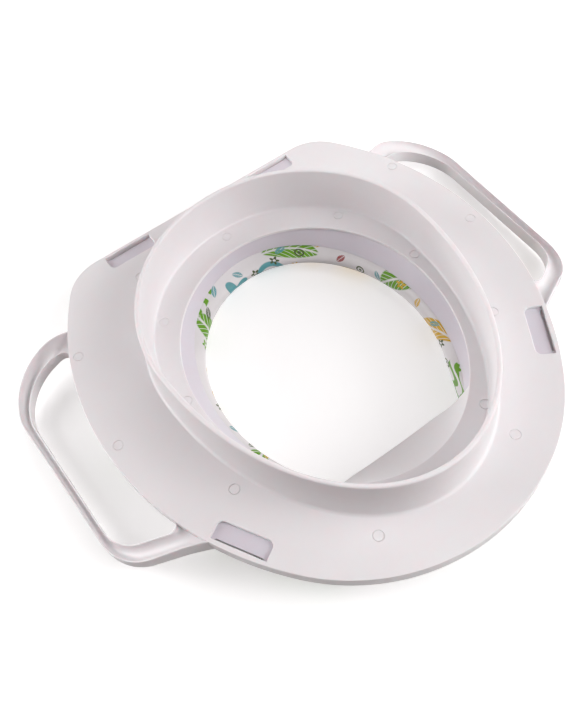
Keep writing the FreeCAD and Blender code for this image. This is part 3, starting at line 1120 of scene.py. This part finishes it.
def plastic_material(name, colour, shade, bump):
    """Satin polypropylene, with light spreading a little under its surface."""
    material, tree, shader = new_material(name)
    place = tree.add("ShaderNodeTexCoord").outputs["Object"]
    surface = tree.add("ShaderNodeGroup", node_tree=bpy.data.node_groups["moulded_plastic"])
    tree.join(place, surface.inputs["Place"])
    surface.inputs["Colour"].default_value = colour
    surface.inputs["Shade"].default_value = shade
    surface.inputs["Cloudiness"].default_value = 0.6
    surface.inputs["Gloss"].default_value = 0.26
    tree.join(surface.outputs["Colour"], shader.inputs["Base Color"])
    tree.join(surface.outputs["Roughness"], shader.inputs["Roughness"])
    add_relief(tree, surface.outputs["Height"], 0.35, bump, shader)
    shader.inputs["IOR"].default_value = 1.48
    shader.inputs["Specular IOR Level"].default_value = 0.6
    shader.inputs["Subsurface Weight"].default_value = 0.35
    shader.inputs["Subsurface Radius"].default_value = (1.0, 0.55, 0.6)
    shader.inputs["Subsurface Scale"].default_value = 2.5 * MM
    return material


def motif_group():
    """One scattered layer of printed motifs: leaves, blossoms, rings and ripples in turned cells."""
    ranges = {"Leaf": (-1.0, 0.4), "Blossom": (0.4, 0.62), "Ring": (0.62, 0.82), "Ripple": (0.82, 1.0)}
    plain_share = 0.25
    edge = 0.03
    group, tree, given, result = new_group(
        "printed_motifs",
        [
            ("NodeSocketVector", "Place", (0, 0, 0)),
            ("NodeSocketFloat", "Cells", 2.0),
            ("NodeSocketFloat", "Size", 0.3),
            ("NodeSocketFloat", "Scatter", 0.5),
        ],
        [("NodeSocketFloat", label) for label in (*ranges, "Hue")],
    )
    scaled = tree.vector("SCALE", given.outputs["Place"], scale=given.outputs["Cells"])
    cells = tree.add("ShaderNodeTexVoronoi", voronoi_dimensions="2D", feature="F1")
    tree.join(scaled, cells.inputs["Vector"])
    cells.inputs["Scale"].default_value = 1.0
    tree.join(given.outputs["Scatter"], cells.inputs["Randomness"])
    local = tree.vector("SUBTRACT", scaled, cells.outputs["Position"])
    local = tree.vector("SCALE", local, scale=tree.math("DIVIDE", 1.0, given.outputs["Size"]))
    chance = tree.add("ShaderNodeSeparateColor")
    tree.join(cells.outputs["Color"], chance.inputs[0])
    kind, turn, hue = chance.outputs
    kind = tree.product(kind, 1.0 + plain_share)
    spin = tree.add("ShaderNodeVectorRotate", rotation_type="Z_AXIS")
    tree.join(local, spin.inputs["Vector"])
    tree.join(tree.product(turn, 2 * math.pi), spin.inputs["Angle"])
    place = spin.outputs[0]
    parts = tree.add("ShaderNodeSeparateXYZ")
    tree.join(place, parts.inputs[0])
    x, y = parts.outputs[0], parts.outputs[1]
    radius = tree.vector("LENGTH", place)
    angle = tree.math("ARCTAN2", y, x)

    def inside(value, limit):
        return tree.ramp(value, limit - edge, limit + edge, 1.0, 0.0)

    def from_line(value, count):
        """Distance from the nearest of count even lines to the unit, as a share of their spacing."""
        along = tree.math("FRACT", tree.product(value, count))
        return tree.math("ABSOLUTE", tree.math("SUBTRACT", along, 0.5))

    def put_out(label, motif):
        low, high = ranges[label]
        here = tree.product(tree.math("GREATER_THAN", kind, low), tree.math("LESS_THAN", kind, high))
        tree.join(tree.product(motif, here), result.inputs[label])

    bow = 0.85
    above = tree.vector("DISTANCE", place, (0.0, bow, 0.0))
    below = tree.vector("DISTANCE", place, (0.0, -bow, 0.0))
    blade = inside(tree.larger(above, below), math.hypot(1.0, bow))
    beside = tree.math("ABSOLUTE", y)
    veins = tree.larger(inside(from_line(tree.sum_of(beside, 1.3, x), 4.0), 0.07), inside(beside, 0.045))
    put_out("Leaf", tree.product(blade, tree.math("SUBTRACT", 1.0, veins, clamp=True)))

    petals = tree.sum_of(tree.math("COSINE", tree.product(angle, 5.0)), -0.22, radius)
    put_out("Blossom", tree.math("SUBTRACT", inside(petals, 0.6), inside(radius, 0.24), clamp=True))

    band = tree.math("ABSOLUTE", tree.math("SUBTRACT", radius, 0.62))
    put_out("Ring", tree.larger(inside(band, 0.12), inside(radius, 0.26)))

    wavy = tree.sum_of(tree.math("SINE", tree.product(x, 7.0)), 0.12, y)
    put_out("Ripple", tree.product(inside(from_line(wavy, 2.2), 0.22), inside(radius, 0.8)))
    tree.join(hue, result.inputs["Hue"])
    return group


def palette(tree, value, colours):
    """One of the colours, picked by a value from 0 to 1."""
    ramp = tree.add("ShaderNodeValToRGB")
    ramp.color_ramp.interpolation = "CONSTANT"
    stops = ramp.color_ramp.elements
    while len(stops) < len(colours):
        stops.new(1.0)
    for i, colour in enumerate(colours):
        stops[i].position = i / len(colours)
        stops[i].color = colour
    tree.join(value, ramp.inputs[0])
    return ramp.outputs["Color"]


def cover_material(colours):
    """White printed film over foam, with large motifs and small ones between them."""
    material, tree, shader = new_material("printed_cover")
    flat = tree.add("ShaderNodeUVMap", uv_map="print").outputs[0]
    place = tree.add("ShaderNodeTexCoord").outputs["Object"]
    clouds = tree.ramp(tree.noise(place, 18.0, 3.0), 0.3, 0.7)
    colour = tree.mix(clouds, colours.cover, colours.cover_shade)
    lime, fern, gold = colours.lime, colours.fern, colours.gold
    lagoon, moss, brick = colours.lagoon, colours.moss, colours.brick
    large = ((lime, fern, gold, lime), (gold, lagoon, fern, lime))
    small = ((lagoon, moss, gold, brick), (moss, lime, moss, gold))
    layers = (((7.7, 13.1, 0.0), 2.7, 0.44, large), ((0.37, 0.61, 0.0), 7.0, 0.28, small))
    for shift, cells, size, (leaf_colours, other_colours) in layers:
        motifs = tree.add("ShaderNodeGroup", node_tree=bpy.data.node_groups["printed_motifs"])
        tree.join(tree.vector("ADD", flat, shift), motifs.inputs["Place"])
        motifs.inputs["Cells"].default_value = cells
        motifs.inputs["Size"].default_value = size
        motifs.inputs["Scatter"].default_value = 0.55
        hue = motifs.outputs["Hue"]
        colour = tree.mix(motifs.outputs["Leaf"], colour, palette(tree, hue, leaf_colours))
        others = tree.larger(motifs.outputs["Ring"], motifs.outputs["Ripple"])
        others = tree.larger(motifs.outputs["Blossom"], others)
        colour = tree.mix(others, colour, palette(tree, hue, other_colours))
    tree.join(colour, shader.inputs["Base Color"])
    grain = tree.noise(flat, 220.0, 3.0, 0.6)
    tree.join(tree.sum_of(grain, 0.12, 0.3), shader.inputs["Roughness"])
    add_relief(tree, grain, 0.4, 0.12, shader)
    shader.inputs["Specular IOR Level"].default_value = 0.45
    return material


# Stage
camera_place = (0.138277, -0.236116, -0.389443)
camera_right = (-0.81416, -0.57193, 0.10020)
camera_up = (-0.53296, 0.66759, -0.51989)
focal_pixels = 779.42
long_side_pixels = 720
sensor_width = 36.0
lamp_distance = 1.2
lamp_size = 0.9
floor_size = 12.0
gap_above = 0.0005
gap_below = 0.0002

# Lamps round the seat: turn from the camera's right, height in degrees and share of the lamp power
lamps = (
    ("right", 0, -28, 0.9),
    ("left", 180, -21, 1.25),
    ("near", 332, -42, 0.8),
    ("far", 90, -18, 0.4),
    ("below", 0, -80, 0.12),
    ("top_right", 50, 50, 0.6),
    ("top_left", 135, 50, 0.6),
)


def floor_material(name, lift):
    """White floor seen from one side only, which keeps soft shadows and lets lamps through."""
    lift_starts, lift_ends = 0.35, 1.2
    material, tree, choose = new_material(name, "ShaderNodeMixShader")
    path = tree.add("ShaderNodeLightPath").outputs
    side = tree.add("ShaderNodeNewGeometry").outputs
    paper = tree.add("ShaderNodeBsdfDiffuse")
    paper.inputs["Color"].default_value = (0.9, 0.9, 0.9, 1)
    glow = tree.add("ShaderNodeEmission")
    seen = tree.larger(path["Is Camera Ray"], path["Is Glossy Ray"])
    seen = tree.larger(seen, path["Is Transmission Ray"])
    distance = tree.vector("LENGTH", tree.add("ShaderNodeTexCoord").outputs["Object"])
    white = tree.ramp(distance, lift_starts, lift_ends, lift, 1.0)
    tree.join(tree.product(seen, white), glow.inputs["Strength"])
    surface = tree.add("ShaderNodeAddShader")
    tree.join(paper.outputs[0], surface.inputs[0])
    tree.join(glow.outputs[0], surface.inputs[1])
    clear = tree.add("ShaderNodeBsdfTransparent")
    unseen = tree.larger(path["Is Shadow Ray"], path["Is Diffuse Ray"])
    tree.join(tree.larger(side["Backfacing"], unseen), choose.inputs[0])
    tree.join(surface.outputs[0], choose.inputs[1])
    tree.join(clear.outputs[0], choose.inputs[2])
    return material


def add_floor(name, z, facing_down, lift):
    deselect_all()
    turn = (math.pi if facing_down else 0, 0, 0)
    bpy.ops.mesh.primitive_plane_add(size=floor_size, location=(0, 0, z), rotation=turn)
    floor = bpy.context.object
    floor.name = name
    floor.data.materials.append(floor_material(name, lift))


def add_lamp(name, place, target, power):
    deselect_all()
    bpy.ops.object.light_add(type="AREA", location=place)
    lamp = bpy.context.object
    lamp.name = name
    lamp.visible_camera = False
    lamp.data.shape = "DISK"
    lamp.data.size = lamp_size
    lamp.data.energy = power
    lamp.rotation_mode = "QUATERNION"
    lamp.rotation_quaternion = (target - place).to_track_quat("-Z", "Y")


def add_lamps(right, back, lamp_power):
    """Lamps on a ball round the seat's middle, turned with the camera."""
    across = Vector((right.x, right.y, 0)).normalized()
    away = Vector((-back.x, -back.y, 0)).normalized()
    middle = Vector((0, 0, (cad_box[0].z + cad_box[1].z) / 2))
    for name, turn, height, share in lamps:
        turn, height = math.radians(turn), math.radians(height)
        level = math.cos(height) * (math.cos(turn) * across + math.sin(turn) * away)
        direction = level + Vector((0, 0, math.sin(height)))
        add_lamp("lamp_" + name, middle + lamp_distance * direction, middle, share * lamp_power)


def light_world(light, colour):
    """Soft light from all round, behind a background that the camera sees as white."""
    world = bpy.data.worlds.new("studio")
    bpy.context.scene.world = world
    world.use_nodes = True
    tree = Tree(world.node_tree)
    background = world.node_tree.nodes["Background"]
    path = tree.add("ShaderNodeLightPath").outputs
    seen = tree.larger(path["Is Camera Ray"], path["Is Transmission Ray"])
    tree.join(tree.ramp(seen, 0.0, 1.0, light, 1.0), background.inputs["Strength"])
    tree.join(tree.mix(seen, colour, (1, 1, 1, 1)), background.inputs["Color"])


def add_camera(right, up, back):
    deselect_all()
    bpy.ops.object.camera_add()
    camera = bpy.context.object
    camera.name = "camera"
    camera.matrix_world = Matrix((right, up, back)).transposed().to_4x4()
    camera.location = camera_place
    camera.data.sensor_width = sensor_width
    camera.data.sensor_fit = "AUTO"
    camera.data.lens = focal_pixels / long_side_pixels * sensor_width
    camera.data.clip_start = 0.01
    bpy.context.scene.camera = camera


def build_stage(settings):
    add_floor("floor_above", cad_box[1].z + gap_above, True, settings.floor_lift)
    add_floor("floor_below", cad_box[0].z - gap_below, False, settings.floor_lift)
    right, up = Vector(camera_right).normalized(), Vector(camera_up).normalized()
    back = right.cross(up)
    add_lamps(right, back, settings.lamp_power)
    light_world(settings.world_light, settings.world_colour)
    add_camera(right, up, back)
    bpy.context.scene.view_settings.view_transform = "Standard"


# Settings, operators and panel
def colour_property(name, description, default):
    return bpy.props.FloatVectorProperty(
        name=name, description=description, default=default, size=4, subtype="COLOR", min=0, max=1,
    )


class SeatColours(bpy.types.PropertyGroup):
    """Colours of the moulded parts and of the printed cover."""

    shell: colour_property("Shell", "Colour of the shell", rgb(231, 228, 230))
    shell_shade: colour_property("Shell shade", "Darker clouds in the shell", rgb(225, 220, 222))
    tray: colour_property("Tray", "Colour of the cushion tray", rgb(215, 209, 217))
    tray_shade: colour_property("Tray shade", "Darker clouds in the tray", rgb(207, 201, 210))
    cover: colour_property("Cover", "Ground of the cover", rgb(226, 223, 224))
    cover_shade: colour_property("Cover shade", "Darker clouds in the cover", rgb(215, 212, 213))
    lime: colour_property("Lime", "Light green of the print", rgb(96, 152, 18))
    fern: colour_property("Fern", "Dark green of the print", rgb(46, 112, 6))
    gold: colour_property("Gold", "Yellow of the print", rgb(205, 162, 6))
    lagoon: colour_property("Lagoon", "Blue of the print", rgb(84, 150, 156))
    moss: colour_property("Moss", "Grey green of the print", rgb(70, 84, 48))
    brick: colour_property("Brick", "Red of the print", rgb(140, 20, 24))


class CushionSettings(bpy.types.PropertyGroup):
    """How the cushion is filled."""

    pressure: bpy.props.FloatProperty(
        name="Pressure", description="Pressure of the foam on the cover", default=4.0, min=0, max=20,
    )
    swell: bpy.props.FloatProperty(
        name="Swell", description="Most that the cover may move", default=0.0025, min=0, max=0.01,
        unit="LENGTH", precision=4,
    )


class StageSettings(bpy.types.PropertyGroup):
    """Light on the seat."""

    lamp_power: bpy.props.FloatProperty(
        name="Lamps", description="Power of the lamps", default=8.9, min=0, unit="POWER",
    )
    world_light: bpy.props.FloatProperty(
        name="World", description="Light from all round", default=0.16, min=0,
    )
    world_colour: colour_property("World colour", "Colour of that light", (1.0, 0.86, 0.84, 1.0))
    floor_lift: bpy.props.FloatProperty(
        name="Floor lift", description="Extra white of the floor", default=0.31, min=0,
    )


class SEAT_OT_shell(bpy.types.Operator):
    """Model the moulded shell with its collar, handles and splash guard"""

    bl_idname = "seat.shell"
    bl_label = "Shell"

    def execute(self, context):
        colours = context.scene.seat_colours
        shell = build_shell()
        material = plastic_material("shell_plastic", colours.shell, colours.shell_shade, 0.03)
        finish_piece(shell, material, "base", 32)
        flatten_normals(shell)
        return {"FINISHED"}


class SEAT_OT_tray(bpy.types.Operator):
    """Model the thin tray that carries the cushion"""

    bl_idname = "seat.tray"
    bl_label = "Cushion tray"

    def execute(self, context):
        colours = context.scene.seat_colours
        tray = build_tray()
        material = plastic_material("tray_plastic", colours.tray, colours.tray_shade, 0.015)
        finish_piece(tray, material, "cushion_tray", 32)
        flatten_normals(tray)
        return {"FINISHED"}


class SEAT_OT_cushion(bpy.types.Operator):
    """Model the foam ring under its printed cover"""

    bl_idname = "seat.cushion"
    bl_label = "Cushion"

    def execute(self, context):
        cushion = build_cushion(context.scene.seat_cushion)
        finish_piece(cushion, cover_material(context.scene.seat_colours), "cushion", 60)
        return {"FINISHED"}


class SEAT_OT_stage(bpy.types.Operator):
    """Set up the floors, the lamps and the camera"""

    bl_idname = "seat.stage"
    bl_label = "Stage"

    def execute(self, context):
        build_stage(context.scene.seat_stage)
        return {"FINISHED"}


class SEAT_PT_panel(bpy.types.Panel):
    """Lists the pieces of the seat"""

    bl_label = "Trainer seat"
    bl_idname = "SEAT_PT_panel"
    bl_space_type = "VIEW_3D"
    bl_region_type = "UI"
    bl_category = "Trainer seat"

    def draw(self, context):
        for operator in (SEAT_OT_shell, SEAT_OT_tray, SEAT_OT_cushion, SEAT_OT_stage):
            self.layout.operator(operator.bl_idname)
        scene = context.scene
        for settings in (scene.seat_colours, scene.seat_cushion, scene.seat_stage):
            for key in settings.__annotations__:
                self.layout.prop(settings, key)


classes = (
    SeatColours,
    CushionSettings,
    StageSettings,
    SEAT_OT_shell,
    SEAT_OT_tray,
    SEAT_OT_cushion,
    SEAT_OT_stage,
    SEAT_PT_panel,
)


def register():
    for item in classes:
        bpy.utils.register_class(item)
    bpy.types.Scene.seat_colours = bpy.props.PointerProperty(type=SeatColours)
    bpy.types.Scene.seat_cushion = bpy.props.PointerProperty(type=CushionSettings)
    bpy.types.Scene.seat_stage = bpy.props.PointerProperty(type=StageSettings)


def unregister():
    del bpy.types.Scene.seat_colours
    del bpy.types.Scene.seat_cushion
    del bpy.types.Scene.seat_stage
    for item in reversed(classes):
        bpy.utils.unregister_class(item)


def main():
    register()
    moulded_group()
    motif_group()
    bpy.ops.seat.shell()
    bpy.ops.seat.tray()
    bpy.ops.seat.cushion()
    bpy.ops.seat.stage()


if __name__ == "__main__":
    main()
